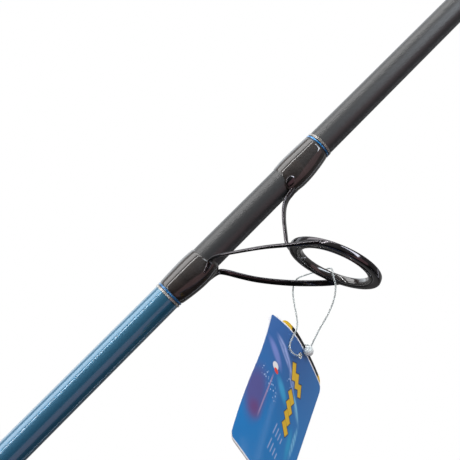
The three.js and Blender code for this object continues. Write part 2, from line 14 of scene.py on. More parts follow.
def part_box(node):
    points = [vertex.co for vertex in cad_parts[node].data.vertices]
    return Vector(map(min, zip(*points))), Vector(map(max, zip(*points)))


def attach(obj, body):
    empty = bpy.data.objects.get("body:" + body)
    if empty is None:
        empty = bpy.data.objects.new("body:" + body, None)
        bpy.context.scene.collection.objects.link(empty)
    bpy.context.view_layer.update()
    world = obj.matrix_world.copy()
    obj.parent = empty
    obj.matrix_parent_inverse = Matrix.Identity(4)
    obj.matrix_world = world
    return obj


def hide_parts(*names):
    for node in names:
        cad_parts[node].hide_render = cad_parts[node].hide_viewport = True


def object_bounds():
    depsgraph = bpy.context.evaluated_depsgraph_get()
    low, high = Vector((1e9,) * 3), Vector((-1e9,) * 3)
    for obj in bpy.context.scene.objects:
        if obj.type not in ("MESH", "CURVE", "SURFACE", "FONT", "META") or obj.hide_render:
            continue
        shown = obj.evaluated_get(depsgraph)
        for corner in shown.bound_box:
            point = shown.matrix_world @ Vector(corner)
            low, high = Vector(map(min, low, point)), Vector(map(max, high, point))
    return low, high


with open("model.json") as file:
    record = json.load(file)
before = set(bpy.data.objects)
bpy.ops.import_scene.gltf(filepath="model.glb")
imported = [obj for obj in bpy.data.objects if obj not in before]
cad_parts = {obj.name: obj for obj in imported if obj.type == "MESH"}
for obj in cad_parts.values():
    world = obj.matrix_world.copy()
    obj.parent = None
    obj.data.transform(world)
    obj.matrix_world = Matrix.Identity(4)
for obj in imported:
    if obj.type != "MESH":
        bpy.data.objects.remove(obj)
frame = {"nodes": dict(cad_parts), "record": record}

CAD_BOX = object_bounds()

MM = 0.001
ROD_ELEVATION = radians(42)
ROD = Matrix.Rotation(-ROD_ELEVATION, 4, "Y")
GUIDE_TILT = radians(22.4)  # how far a guide's ring leans towards the tip
TIP_TOP_TILT = 0.2
SEGMENTS = 96  # round the rod

BODY_OF = {node: body for body, nodes in frame["record"]["behaviour"]["bodies"].items() for node in nodes}
SLOT_OF = {part["node"]: part["material_slot"] for part in frame["record"]["subparts"]}


# ---- Reading the frame ----
def centre_of(node):
    low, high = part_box(node)
    return (low + high) / 2


def rod_points(node):
    """A CAD node's vertices in the rod's own frame, in millimetres."""
    turn = ROD.inverted()
    return [(turn @ v.co) / MM for v in frame["nodes"][node].data.vertices]


def sides_of(node):
    """The outer and inner sides of a node turned round the rod's axis, as rows of (station, radius)."""
    mesh = frame["nodes"][node].data
    turn = ROD.inverted()
    spin = turn.to_3x3()
    points = rod_points(node)
    outer, inner = {}, {}
    for face in mesh.polygons:
        normal = spin @ face.normal
        middle = turn @ face.center
        reach = hypot(middle.y, middle.z)
        if reach == 0:
            continue
        facing = (normal.y * middle.y + normal.z * middle.z) / reach
        if abs(facing) < 0.2:
            continue
        side = outer if facing > 0 else inner
        for index in face.vertices:
            p = points[index]
            station = round(p.x, 1)
            radius = hypot(p.y, p.z)
            if station not in side or (radius - side[station]) * facing > 0:
                side[station] = radius
    return sorted(outer.items()), sorted(inner.items())


def span_of(node):
    """The first and last station of a node along the rod."""
    stations = [p.x for p in rod_points(node)]
    return min(stations), max(stations)


def interpolate(profile, station):
    for (x0, r0), (x1, r1) in zip(profile, profile[1:]):
        if station <= x1:
            t = max(0.0, (station - x0) / (x1 - x0))
            return r0 + (r1 - r0) * t
    return profile[-1][1]


BUTT_OUTER = sides_of("butt_blank")[0]
TIP_OUTER = sides_of("tip_blank")[0]
FERRULE_START = TIP_OUTER[0][0]


def blank_radius(station):
    return interpolate(TIP_OUTER if station >= FERRULE_START else BUTT_OUTER, station)


RING_CENTRE = centre_of("stripper_guide_ring")
RING_STATION = (ROD.inverted() @ RING_CENTRE).x / MM
AXIS_AT_RING = ROD @ Vector((RING_STATION * MM, 0, 0))


def add_object(name, data):
    """A new object in the scene, for a mesh, a curve, a lamp or a camera."""
    piece = bpy.data.objects.new(name, data)
    bpy.context.scene.collection.objects.link(piece)
    return piece


# ---- Camera ----
CAMERA_PLACE = Vector((89.49, -304.96, -192.51))  # from the rod's axis at the stripper ring
RIGHT = Vector((0.9457, 0.3251, 0)).normalized()
FORWARD = Vector((-0.2835, 0.8249, 0.4891)).normalized()
UP = RIGHT.cross(FORWARD)


def make_camera():
    """Below and beside the stripper guide, looking up along the rod."""
    camera = add_object("camera", bpy.data.cameras.new("camera"))
    bpy.context.scene.camera = camera
    camera.data.lens = 60
    camera.data.sensor_width = 36
    camera.data.clip_start = 0.01
    camera.data.clip_end = 50
    camera.location = AXIS_AT_RING + CAMERA_PLACE * MM
    camera.rotation_euler = Matrix((RIGHT, UP, -FORWARD)).transposed().to_euler()


# ---- Curves ----
def smooth_route(route, spacing):
    """Points about spacing apart on the centripetal Catmull-Rom curve through route."""
    points = [Vector(p) for p in route]
    points = [2 * points[0] - points[1], *points, 2 * points[-1] - points[-2]]
    smooth = []
    for span in zip(points, points[1:], points[2:], points[3:]):
        knots = [0.0]
        for a, b in zip(span, span[1:]):
            knots.append(knots[-1] + sqrt((b - a).length))
        count = max(1, round((span[2] - span[1]).length / spacing))
        for step in range(count):
            t = knots[1] + (knots[2] - knots[1]) * step / count
            level = span
            for pairs in (((0, 1), (1, 2), (2, 3)), ((0, 2), (1, 3)), ((1, 2),)):
                shares = [(t - knots[low]) / (knots[high] - knots[low]) for low, high in pairs]
                level = [a.lerp(b, share) for a, b, share in zip(level, level[1:], shares)]
            smooth.append(level[0])
    smooth.append(points[-2])
    return smooth


# ---- The cord ----
# It leaves the bead, rises through the guide's ring, lies over the rim and the leg, comes down
# in front of the cards, goes back through their holes and returns over their top edge to the bead.
CORD_DIAMETER = 0.8
CORD_ROUTE = [  # from the rod's axis at the stripper ring, along the row's axes
    (16.4, 22.3, -66.7),
    (18.6, 21.7, -63.3),
    (20.9, 21.0, -59.8),
    (26.1, 19.5, -52.8),
    (29.5, 17.5, -47.0),
    (31.0, 15.5, -41.6),
    (30.8, 13.8, -38.6),
    (30.6, 13.2, -35.8),
    (29.8, 14.4, -33.0),
    (26.2, 18.0, -31.1),
    (22.0, 19.6, -30.9),
    (16.4, 20.2, -31.4),
    (11.4, 21.2, -32.5),
    (9.4, 22.6, -35.0),
    (8.9, 22.5, -38.5),
    (9.5, 21.5, -44.8),
    (10.9, 19.2, -52.3),
    (12.0, 15.4, -58.2),
    (12.0, 12.8, -62.0),
    (10.8, 11.2, -65.6),
    (9.7, 9.9, -69.0),
    (9.6, 9.7, -71.8),
    (10.7, 11.5, -73.6),
    (12.2, 15.2, -73.4),
    (12.6, 18.6, -72.0),
    (10.8, 20.4, -71.4),
    (8.7, 22.2, -70.3),
    (8.9, 24.8, -67.2),
    (11.0, 26.9, -64.3),
    (13.9, 26.2, -64.6),
    (15.0, 24.7, -66.8),
]
CORD_SPACING = 0.45


def make_cord():
    data = bpy.data.curves.new("nylon_loop", "CURVE")
    data.dimensions = "3D"
    data.bevel_depth = CORD_DIAMETER / 2 * MM
    data.bevel_resolution = 4
    data.use_fill_caps = True
    points = smooth_route(CORD_ROUTE, CORD_SPACING)
    spline = data.splines.new("POLY")
    spline.points.add(len(points) - 1)
    for vertex, point in zip(spline.points, points):
        vertex.co = (*(AXIS_AT_RING + point * MM), 1)
    return add_object("nylon_loop", data)


CORD = make_cord()


# ---- Tag sizes ----
CARD_HEIGHT, CARD_THICKNESS = 68.0, 0.5
CARD_BEND, CARD_CORNER, CARD_HOLE, HOLE_INSET = 78.0, 4.0, 1.6, 5.0
PRINT_MARGIN = 0.55
CARD_HANG = Vector((11.3, 20.3, -71.4))  # the front card's hole, from the rod's axis at the stripper ring
CARD_TURN = Euler((radians(-26), radians(8.5), radians(-12.4)), "XYZ")
CARD_LAYOUT = {  # offset is off the front, rise above its top edge, and shift of its middle from the hole
    "front_card": {"offset": 0.0, "rise": 0.0, "width": 51.5, "shift": 2.25},
    "back_card": {"offset": -0.9, "rise": 3.2, "width": 45.0, "shift": 5.5},
}


# ---- Materials ----
class Nodes:
    """Short calls that add nodes to the tree of a material or of the world."""

    def __init__(self, tree):
        self.tree = tree

    def feed(self, target, value):
        """Links a socket to target, or gives target a plain value."""
        if isinstance(value, bpy.types.NodeSocket):
            self.tree.links.new(value, target)
        else:
            target.default_value = value

    def node(self, kind, inputs=None, output=0, **settings):
        """Adds a node and returns one of its outputs. inputs are sockets or values, by name or number."""
        node = self.tree.nodes.new("ShaderNode" + kind)
        for key, value in settings.items():
            setattr(node, key, value)
        for key, value in (inputs or {}).items():
            self.feed(node.inputs[key], value)
        return node.outputs[output]


class Finish(Nodes):
    """A Principled material, with calls for what varies its colour, gloss and relief."""

    def __init__(self, name, color, roughness, **sockets):
        self.material = bpy.data.materials.new(name)
        self.material.use_nodes = True
        super().__init__(self.material.node_tree)
        self.shader = self.tree.nodes["Principled BSDF"]
        self.set("Base Color", (*color, 1))
        self.set("Roughness", roughness)
        for socket, value in sockets.items():
            self.set(socket.replace("_", " "), value)

    def set(self, socket, value):
        self.feed(self.shader.inputs[socket], value)

    def place(self, scale=(1, 1, 1), location=(0, 0, 0), rotation=(0, 0, 0), kind="POINT"):
        """Object coordinates, which run along the rod or across a card."""
        where = self.node("TexCoord", output="Object")
        inputs = {"Vector": where, "Location": location, "Rotation": rotation, "Scale": scale}
        return self.node("Mapping", inputs, vector_type=kind)

    def along(self):
        return self.node("SeparateXYZ", {"Vector": self.place()}, output="X")

    def noise(self, scale, vector=None, detail=3, roughness=0.5):
        inputs = {"Vector": vector or self.place(), "Scale": scale, "Detail": detail, "Roughness": roughness}
        return self.node("TexNoise", inputs)

    def math(self, operation, a, b=0.0):
        return self.node("Math", {0: a, 1: b}, operation=operation)

    def remap(self, value, low, high, to_low=0.0, to_high=1.0, smooth=False):
        inputs = {"Value": value, "From Min": low, "From Max": high, "To Min": to_low, "To Max": to_high}
        kind = "SMOOTHSTEP" if smooth else "LINEAR"
        return self.node("MapRange", inputs, interpolation_type=kind)

    def mix(self, factor, a, b):
        """Colour a where factor is 0, and b where it is 1."""
        a = a if isinstance(a, bpy.types.NodeSocket) else (*a, 1)
        b = b if isinstance(b, bpy.types.NodeSocket) else (*b, 1)
        inputs = {"Factor": factor, 6: a, 7: b}
        return self.node("Mix", inputs, output=2, data_type="RGBA")

    def bump(self, height, distance, strength=1.0, socket="Normal"):
        inputs = {"Height": height, "Distance": distance * MM, "Strength": strength}
        self.set(socket, self.node("Bump", inputs))


def threads(finish, pitch):
    """0 to 1 across each turn of thread wound round the rod, pitch apart."""
    turns = finish.math("MULTIPLY", finish.along(), 2 * pi / (pitch * MM))
    return finish.remap(finish.math("SINE", turns), -1, 1)


BLUE_END = span_of("rear_silver_band")[0] * MM


def blank_lacquer():
    """Gloss blue below the stripper guide's rear wrap, satin graphite under and above the guide."""
    finish = Finish("blank_lacquer", (0.03, 0.03, 0.033), 0.3, Coat_Roughness=0.02, Specular_IOR_Level=0.6)
    along = finish.along()
    blue = finish.remap(along, BLUE_END + 0.0004, BLUE_END)
    fade = finish.remap(along, BLUE_END - 0.45, BLUE_END)
    flake = finish.noise(9000, detail=2)
    fibre = finish.noise(260, finish.place(scale=(0.03, 1, 1)), detail=4)
    deep = finish.mix(fade, (0.01, 0.06, 0.17), (0.022, 0.12, 0.21))
    sparkle = finish.mix(finish.remap(flake, 0.4, 0.8), deep, (0.045, 0.2, 0.32))
    graphite = finish.mix(fibre, (0.026, 0.026, 0.027), (0.038, 0.038, 0.038))
    finish.set("Base Color", finish.mix(blue, graphite, sparkle))
    finish.set("Metallic", finish.math("MULTIPLY", blue, 0.35))
    satin = finish.remap(fibre, 0, 1, 0.37, 0.42)
    finish.set("Roughness", finish.math("SUBTRACT", satin, finish.math("MULTIPLY", blue, 0.1)))
    finish.set("Coat Weight", blue)
    finish.bump(finish.noise(900, detail=2), 0.002, 0.1)
    return finish.material


def wrap_epoxy():
    """Near-black thread under a thick clear coat."""
    finish = Finish("wrap_epoxy", (0.02, 0.014, 0.012), 0.5, Coat_Weight=1.0, Coat_Roughness=0.012)
    finish.set("Coat IOR", 1.55)
    finish.set("Specular IOR Level", 0.25)
    turn = threads(finish, 0.26)
    uneven = finish.noise(180, finish.place(scale=(1, 0.15, 0.15)), detail=3)
    dark = finish.mix(turn, (0.006, 0.0045, 0.004), (0.024, 0.017, 0.014))
    finish.set("Base Color", finish.mix(finish.remap(uneven, 0.35, 0.75), dark, (0.03, 0.021, 0.017)))
    finish.bump(turn, 0.05, 0.5)
    ripple = finish.noise(70, finish.place(scale=(0.5, 1, 1)), detail=1)
    finish.bump(ripple, 0.5, 0.35, socket="Coat Normal")
    return finish.material


def metallic_thread(name, light, dark):
    finish = Finish(name, light, 0.3, Metallic=0.55, Coat_Weight=1.0, Coat_Roughness=0.03)
    turn = threads(finish, 0.24)
    glint = finish.noise(3000, detail=2)
    bright = finish.mix(finish.remap(glint, 0.35, 0.7), dark, light)
    finish.set("Base Color", finish.mix(turn, dark, bright))
    finish.bump(turn, 0.06, 0.8)
    return finish.material


def grained(name, dark, light, roughness, grain, relief=None, gloss=None, stretch=(1, 1, 1), **sockets):
    """A material whose colour runs from dark to light with a noise of that scale and detail.

    relief is the depth and strength of its bumps, and the scale and detail of their own noise if they
    have one. gloss is a range of the first noise and the roughness at its two ends.
    """
    finish = Finish(name, light, roughness, **sockets)
    scale, detail = grain
    pattern = finish.noise(scale, finish.place(scale=stretch), detail=detail)
    finish.set("Base Color", finish.mix(pattern, dark, light))
    if gloss:
        finish.set("Roughness", finish.remap(pattern, *gloss))
    if relief:
        depth, strength, *own = relief
        finish.bump(finish.noise(own[0], detail=own[1]) if own else pattern, depth, strength)
    return finish.material


def grip_foam():
    """Closed-cell foam: matt, with fine open cells in its ground surface."""
    finish = Finish("grip_foam", (0.02, 0.02, 0.021), 0.9, Sheen_Weight=0.25, Sheen_Roughness=0.5)
    where = finish.place()
    cells = finish.node("TexVoronoi", {"Vector": where, "Scale": 1900}, feature="DISTANCE_TO_EDGE")
    blotch = finish.noise(40, detail=4)
    base = finish.mix(blotch, (0.014, 0.014, 0.015), (0.028, 0.028, 0.03))
    finish.set("Base Color", finish.mix(finish.remap(cells, 0.0, 0.12), (0.006, 0.006, 0.006), base))
    finish.bump(finish.remap(cells, 0.0, 0.3), 0.12, 0.7)
    return finish.material


class CardArt(Finish):
    """A printed, laminated card. Its own frame has Y across the front and Z up from the hole."""

    def __init__(self, name, color):
        super().__init__(name, color, 0.5, Coat_Weight=0.2, Coat_Roughness=0.1, Specular_IOR_Level=0.2)
        self.bump(self.noise(420, detail=2), 0.01, 0.4)

    def within(self, across, up, width, height, turn=0.0, soft=0.08, round_shape=False):
        """1 inside a box or an ellipse of that size at (across, up) on the card, turned by turn."""
        size = (1, width / 2 * MM, height / 2 * MM)
        middle = (0, across * MM, up * MM)
        local = self.place(scale=size, location=middle, rotation=(turn, 0, 0), kind="TEXTURE")
        if round_shape:
            flat = self.node("VectorMath", {0: local, 1: (0, 1, 1)}, operation="MULTIPLY")
            reach = self.node("VectorMath", {0: flat}, output="Value", operation="LENGTH")
        else:
            split = self.node("SeparateXYZ", {"Vector": local}).node
            reach = self.math("MAXIMUM", self.math("ABSOLUTE", split.outputs["Y"]),
                              self.math("ABSOLUTE", split.outputs["Z"]))
        return self.remap(reach, 1.0, 1.0 - soft, smooth=True)

    def paint(self, base, mask, color, strength=1.0):
        return self.mix(self.math("MULTIPLY", mask, strength), base, color)


YELLOW, INK = (0.8, 0.5, 0.03), (0.006, 0.012, 0.03)
SILVER, SKY = (0.34, 0.42, 0.74), (0.25, 0.62, 0.85)
# Each mark on the front card: across, up, width, height, turn, edge softness, whether it is round,
# colour, strength, and whether the currents streak it.
FRONT_MARKS = [
    (-18, -36, 19, 34, 0.2, 0.7, True, (0.11, 0.08, 0.26), 0.85, False),
    (-15, -43, 13, 12, 0.1, 0.9, True, (0.17, 0.05, 0.17), 0.7, False),
    (-15, -12.5, 20, 5.5, -0.62, 0.7, True, (0.2, 0.26, 0.6), 0.9, False),
    (-10, -7.6, 21, 5.2, -0.5, 0.6, True, SILVER, 0.95, True),
    (0, -13.6, 18, 4.6, -0.72, 0.6, True, SILVER, 0.9, True),
    (1, -10, 5, 1.6, -0.6, 0.6, True, (0.6, 0.55, 0.8), 0.8, True),
    (-3, -23.5, 19, 6.5, -0.45, 0.8, True, (0.05, 0.4, 0.68), 0.85, False),
    (11.5, -21.5, 19, 4.6, -0.55, 0.7, True, SKY, 0.85, True),
    (19, -34, 21, 4.6, -1.5, 0.7, True, SKY, 0.8, True),
    (15.5, -38, 22, 7, -1.35, 0.9, True, (0.03, 0.42, 0.66), 0.6, False),
    (-12.1, -33, 1.1, 25, 0.0, 0.4, False, (0.34, 0.26, 0.46), 0.9, False),
    (-12.7, -17.8, 4.6, 3.8, -0.3, 0.2, True, (0.85, 0.82, 0.8), 1.0, False),
    (-11.3, -19.4, 3.6, 2.2, -0.3, 0.2, True, (0.8, 0.06, 0.04), 1.0, False),
]


def front_card_print():
    """Deep water blue with a violet patch, silver currents, bubbles, and plain yellow zigzags."""
    art = CardArt("front_card_print", (0.02, 0.12, 0.33))
    height = art.node("SeparateXYZ", {"Vector": art.place()}, output="Z")
    color = art.mix(art.remap(height, 0.0, -0.05, smooth=True), (0.04, 0.13, 0.36), (0.012, 0.2, 0.52))
    flow = {"Scale": 130, "Distortion": 4, "Detail": 3, "Detail Scale": 1.5}
    flow["Vector"] = art.place(rotation=(0.5, 0, 0))
    streams = art.node("TexWave", flow, output="Fac", bands_direction="Z")
    streaks = art.remap(streams, 0.1, 0.9, 0.45, 1.0)
    bead_side = art.remap(art.node("SeparateXYZ", {"Vector": art.place()}, output="Y"), 0.0, 0.028)
    color = art.paint(color, bead_side, (0.04, 0.25, 0.62), 0.6)
    for *place, shade, strength, streaky in FRONT_MARKS:
        mask = art.within(*place)
        if streaky:
            mask = art.math("MULTIPLY", mask, streaks)
        color = art.paint(color, mask, shade, strength)
    cells = art.node("TexVoronoi", {"Vector": art.place(), "Scale": 700, "Randomness": 1.0})
    drops = art.remap(cells, 0.34, 0.22, smooth=True)
    for across, up, wide in ((-17.5, -24.5, 10), (-9.5, -29, 13), (1, -17, 11)):
        cluster = art.math("MULTIPLY", drops, art.within(across, up, wide, wide * 0.6, -0.5, 0.6, True))
        color = art.paint(color, cluster, (0.45, 0.62, 0.85), 0.8)
    bars = [(4.6 * step, -9.8 - 1.7 * step, 3.5, 8.6 - 1.2 * step, 0.5) for step in range(3)]
    bars += [(4.8 + 1.2 * step, -20.5 - 4.6 * step, 7.2, 3.6, -0.5) for step in range(4)]
    for grow, shade in ((0.9, INK), (0.0, YELLOW)):
        for across, up, wide, tall, turn in bars:
            color = art.paint(color, art.within(across, up, wide + grow, tall + grow, turn, 0.15), shade)
    for step in range(4):
        for up in (-40, -47.5):
            stroke = art.within(1.4 + 2.5 * step, up - 0.3 * step, 1.0, 6.5 - step, -0.1, 0.4)
            color = art.paint(color, stroke, (0.42, 0.52, 0.74), 0.75)
    middle = (CARD_LAYOUT["front_card"]["shift"], HOLE_INSET - CARD_HEIGHT / 2)
    size = (CARD_LAYOUT["front_card"]["width"] - 2 * PRINT_MARGIN, CARD_HEIGHT - 2 * PRINT_MARGIN)
    printed = art.within(*middle, *size, soft=0.01)
    art.set("Base Color", art.mix(printed, (0.85, 0.86, 0.88), color))
    return art.material


def back_card_print():
    """Black with yellow blocks at its corners."""
    art = CardArt("back_card_print", (0.01, 0.01, 0.012))
    color = art.mix(art.noise(60, detail=3), (0.007, 0.007, 0.009), (0.016, 0.016, 0.019))
    for across, up, wide in ((-15, 6.5, 9), (27, 6.5, 10), (-8, -56, 14), (20, -56, 14)):
        color = art.paint(color, art.within(across, up, wide, 6, 0.3, 0.08), YELLOW)
    art.set("Base Color", color)
    return art.material


MATERIALS = {
    "blank_lacquer": blank_lacquer(),
    "wrap_epoxy": wrap_epoxy(),
    "silver_thread": metallic_thread("silver_thread", (0.62, 0.58, 0.52), (0.3, 0.28, 0.26)),
    "blue_thread": metallic_thread("blue_thread", (0.015, 0.27, 0.58), (0.01, 0.14, 0.36)),
    "guide_metal": grained(
        "guide_metal", (0.05, 0.046, 0.05), (0.1, 0.094, 0.1), 0.11, (320, 4), (0.02, 0.3, 700, 3),
        gloss=(0.2, 0.8, 0.07, 0.15), Metallic=1.0,
    ),
    "guide_ceramic": grained(
        "guide_ceramic", (0.012, 0.01, 0.01), (0.034, 0.026, 0.024), 0.16, (900, 3), (0.008, 0.3),
        Coat_Weight=1.0, Coat_Roughness=0.03,
    ),
    "grip_foam": grip_foam(),
    "butt_rubber": grained(
        "butt_rubber", (0.009, 0.009, 0.009), (0.022, 0.021, 0.021), 0.68, (150, 5), (0.05, 0.5, 2200, 2),
        gloss=(0.3, 0.7, 0.6, 0.8),
    ),
    "anodised_metal": grained(
        "anodised_metal", (0.018, 0.1, 0.28), (0.045, 0.17, 0.42), 0.3, (2600, 3), (0.015, 0.5),
        gloss=(0.2, 0.8, 0.22, 0.36), stretch=(1, 0.02, 0.02), Metallic=1.0,
    ),
    "seat_plastic": grained(
        "seat_plastic", (0.014, 0.015, 0.017), (0.036, 0.037, 0.041), 0.34, (1300, 3), (0.02, 0.4),
        Coat_Weight=0.5, Coat_Roughness=0.12,
    ),
    "clear_nylon": grained(
        "clear_nylon", (0.66, 0.7, 0.69), (0.84, 0.87, 0.86), 0.25, (420, 3), (0.01, 0.4, 1500, 2),
        IOR=1.5, Transmission_Weight=0.7,
    ),
    "front_card_print": front_card_print(),
    "back_card_print": back_card_print(),
}
CARD_STOCK = grained("card_stock", (0.76, 0.76, 0.74), (0.88, 0.88, 0.86), 0.7, (2500, 2))
BEAD_NYLON = grained(
    "cloudy_nylon", (0.8, 0.85, 0.83), (0.93, 0.96, 0.94), 0.3, (500, 3), (0.01, 0.4, 1500, 2),
    IOR=1.5, Transmission_Weight=0.25,
)


# ---- Mesh helpers ----
def make_object(name, vertices, faces, frame_matrix=ROD):
    """A mesh from millimetre points in the frame that frame_matrix turns into the row's."""
    mesh = bpy.data.meshes.new(name)
    mesh.from_pydata([Vector(v) * MM for v in vertices], [], faces)
    piece = add_object(name, mesh)
    piece.matrix_world = frame_matrix
    return piece


def clean(piece, sharp_angle=35):
    """Faces outwards, smooth but for its sharp edges."""
    shape = bmesh.new()
    shape.from_mesh(piece.data)
    bmesh.ops.remove_doubles(shape, verts=shape.verts, dist=1e-7)
    bmesh.ops.recalc_face_normals(shape, faces=shape.faces)
    shape.to_mesh(piece.data)
    shape.free()
    piece.data.shade_smooth()
    piece.data.set_sharp_from_angle(angle=radians(sharp_angle))
    return piece


def stand_for(piece, node):
    """The piece takes a CAD node's place, body and finish."""
    slot = SLOT_OF[node]
    if not piece.data.materials:
        piece.data.materials.append(MATERIALS[slot])
    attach(piece, BODY_OF[node])
    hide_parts(node)
    return piece


def filleted(loop, radius, steps=4):
    """Rounds every corner of a closed outline, by no more than a third of its sides."""
    rounded = []
    for before, corner, after in zip([loop[-1], *loop], loop, [*loop[1:], loop[0]]):
        back = Vector(before) - Vector(corner)
        ahead = Vector(after) - Vector(corner)
        cut_back = min(radius, back.length / 3)
        cut_ahead = min(radius, ahead.length / 3)
        if corner[1] == 0 or back.angle(-ahead) < 0.12:
            rounded.append(corner)
            continue
        start = Vector(corner) + back.normalized() * cut_back
        end = Vector(corner) + ahead.normalized() * cut_ahead
        for step in range(steps + 1):
            t = step / steps
            point = start * (1 - t) ** 2 + 2 * Vector(corner) * t * (1 - t) + end * t * t
            rounded.append((point.x, point.y))
    return rounded


def subdivided(loop, spacing):
    """Adds points to an outline's long sides."""
    dense = []
    for (x0, r0), (x1, r1) in zip(loop, [*loop[1:], loop[0]]):
        count = 1 if r0 == 0 or r1 == 0 else max(1, int(hypot(x1 - x0, r1 - r0) / spacing))
        dense += [(x0 + (x1 - x0) * k / count, r0 + (r1 - r0) * k / count) for k in range(count)]
    return dense


def rounded_through(profile, spacing=3.0):
    """A smooth curve through an outer profile of (station, radius)."""
    return [(p.x, p.y) for p in smooth_route([(x, r, 0) for x, r in profile], spacing)]


def lathe(name, loop, shape=None, segments=SEGMENTS, frame_matrix=ROD, slide=None):
    """Turns a closed outline of (station, radius) round the X axis.

    shape(station, angle, radius) may change the radius, and slide(station, angle) adds to the station.
    Their angle is 0 towards -Z, where the guides are.
    """
    vertices, rings, faces = [], [], []
    for station, radius in loop:
        count = 1 if radius == 0 else segments
        rings.append(range(len(vertices), len(vertices) + count))
        for k in range(count):
            angle = 2 * pi * k / segments
            reach = shape(station, angle, radius) if shape and radius else radius
            place = station + (slide(station, angle) if slide else 0.0)
            vertices.append(Vector((place, reach * sin(angle), -reach * cos(angle))))
    for a, b in zip(rings, [*rings[1:], rings[0]]):
        for k in range(segments):
            j = (k + 1) % segments
            if len(a) == 1 and len(b) == 1:
                break
            if len(a) == 1:
                faces.append((a[0], b[j], b[k]))
            elif len(b) == 1:
                faces.append((a[k], a[j], b[0]))
            else:
                faces.append((a[k], a[j], b[j], b[k]))
    return clean(make_object(name, vertices, faces, frame_matrix))


def sleeve(node, name, fillet, spacing, smooth=False):
    """A turned piece that follows its CAD node's outer and inner sides, with rounded edges."""
    outer, inner = sides_of(node)
    if smooth:
        outer = rounded_through(outer)
    loop = filleted([*outer, *reversed(inner)], fillet)
    stand_for(lathe(name, subdivided(loop, spacing)), node)


def angle_from_guides(angle):
    """How far round the rod a point is from the guides' side, 0 to pi."""
    return pi - abs(pi - angle)


# ---- Blank ----
def make_blanks():
    sleeve("butt_blank", "butt_section_blank", 0.3, spacing=8)
    outer, inner = sides_of("tip_blank")
    start, end = outer[0][0], outer[-1][0]
    bore = [(x, r) for x, r in inner if r > 0.2]
    hollow_end = max(p.x for p in rod_points("tip_blank") if hypot(p.y, p.z) < 0.01 and p.x < end - 1)
    loop = filleted([*outer, (end, 0), (hollow_end, 0), *reversed(bore)], 0.3)
    stand_for(lathe("tip_section_blank", subdivided(loop, 8)), "tip_blank")


# ---- Handle ----
SEAT_RADIUS = sides_of("reel_seat_body")[0][-1][1]
BED_DEPTH = 10.9
BED_START, BED_END = 400, 468
THREAD_START, THREAD_END = 358.5, 399
THREAD_PITCH = 2.0
THREAD_DEPTH = 0.55


def make_butt_cap():
    """A moulded cap with four grip rings round it."""
    outer, inner = sides_of("butt_cap")
    floor = inner[0][0]
    profile = [(0, 0), (0, 14.5), *[p for p in outer if p[0] > 0.5]]
    loop = filleted([*profile, *reversed(inner), (floor, 0)], 1.6, steps=6)

    def grooved(station, angle, radius):
        if radius < 14 or not 9 < station < 26:
            return radius
        return radius - 0.55 * max(0.0, cos((station - 17.5) * 2 * pi / 4.2)) ** 3

    stand_for(lathe("rubber_butt_cap", subdivided(loop, 0.5), grooved), "butt_cap")


def make_grips():
    for node, name in (("rear_grip", "rear_foam_grip"), ("foregrip", "fore_foam_grip")):
        sleeve(node, name, 1.6, spacing=2.5, smooth=True)
    for place in ("rear", "fore"):
        sleeve(f"{place}_check", f"{place}_winding_check", 0.5, spacing=0.6)


def make_reel_seat():
    """A barrel with a screw thread at its rear and a flat bed for the reel's foot."""

    def barrel(station, angle, radius):
        if radius < SEAT_RADIUS - 1:
            return radius
        away = angle_from_guides(angle)
        if THREAD_START < station < THREAD_END:
            phase = (station / THREAD_PITCH - angle / (2 * pi)) % 1
            fade = min(1, (station - THREAD_START) / 1.5, (THREAD_END - station) / 1.5)
            radius -= THREAD_DEPTH * fade * min(1, max(0, 1.6 - 3.2 * abs(phase - 0.5)))
        if BED_START <= station <= BED_END and away < pi / 3:
            radius = min(radius, BED_DEPTH / cos(away))
        return radius

    start, end = span_of("reel_seat_body")
    inner = sides_of("reel_seat_body")[1]
    outer = [(start, SEAT_RADIUS), (end, SEAT_RADIUS)]
    loop = filleted([*outer, *reversed(inner)], 0.5)
    stations = subdivided(loop, 0.25)
    stand_for(lathe("threaded_reel_seat", stations, barrel), "reel_seat_body")


def make_hood(node, name, facing):
    """A collar with a raised pocket for one end of a reel's foot, open towards facing."""
    start, end = span_of(node)
    bore, wall, pocket_height, pocket_width = SEAT_RADIUS + 0.3, 2.0, 4.6, 13.0
    collar = bore + wall
    hump = pocket_width / 2 + wall
    hump_depth = bore + pocket_height - pocket_width / 2

    def ray_to_hump(away):
        inside = hump**2 - (hump_depth * sin(away)) ** 2
        if cos(away) <= 0 or inside <= 0:
            return 0.0
        return hump_depth * cos(away) + sqrt(inside)

    def ray_to_pocket(away):
        if away >= pi / 2:
            return 0.0
        side = pocket_width / 2 / max(sin(away), 1e-6)
        return min((bore + pocket_height) / cos(away), side)

    def form(station, angle, radius):
        away = angle_from_guides(angle)
        if radius > bore + 0.2:
            inset = collar - radius
            lift = ray_to_hump(away)
            blend = 1.2
            gap = max(blend - abs(collar - lift), 0) / blend
            open_edge = start if facing < 0 else end
            rim = 0.35 * max(0.0, 1 - abs(station - open_edge) / 2.2)
            return max(collar, lift) + gap * gap * blend / 4 - inset + rim
        in_pocket = (station - step) * facing > 0
        return max(radius, ray_to_pocket(away)) if in_pocket else radius

    step = end - wall if facing < 0 else start + wall
    inner = [(start, bore), (step - 0.02, bore), (step + 0.02, bore), (end, bore)]
    loop = filleted([(start, collar), (end, collar), (end, bore), (start, bore)], 0.7)
    outer_part = [p for p in loop if p[1] > bore + 0.75]
    dense = subdivided([*outer_part, *reversed(inner)], 0.8)
    stand_for(lathe(name, dense, form, segments=144), node)


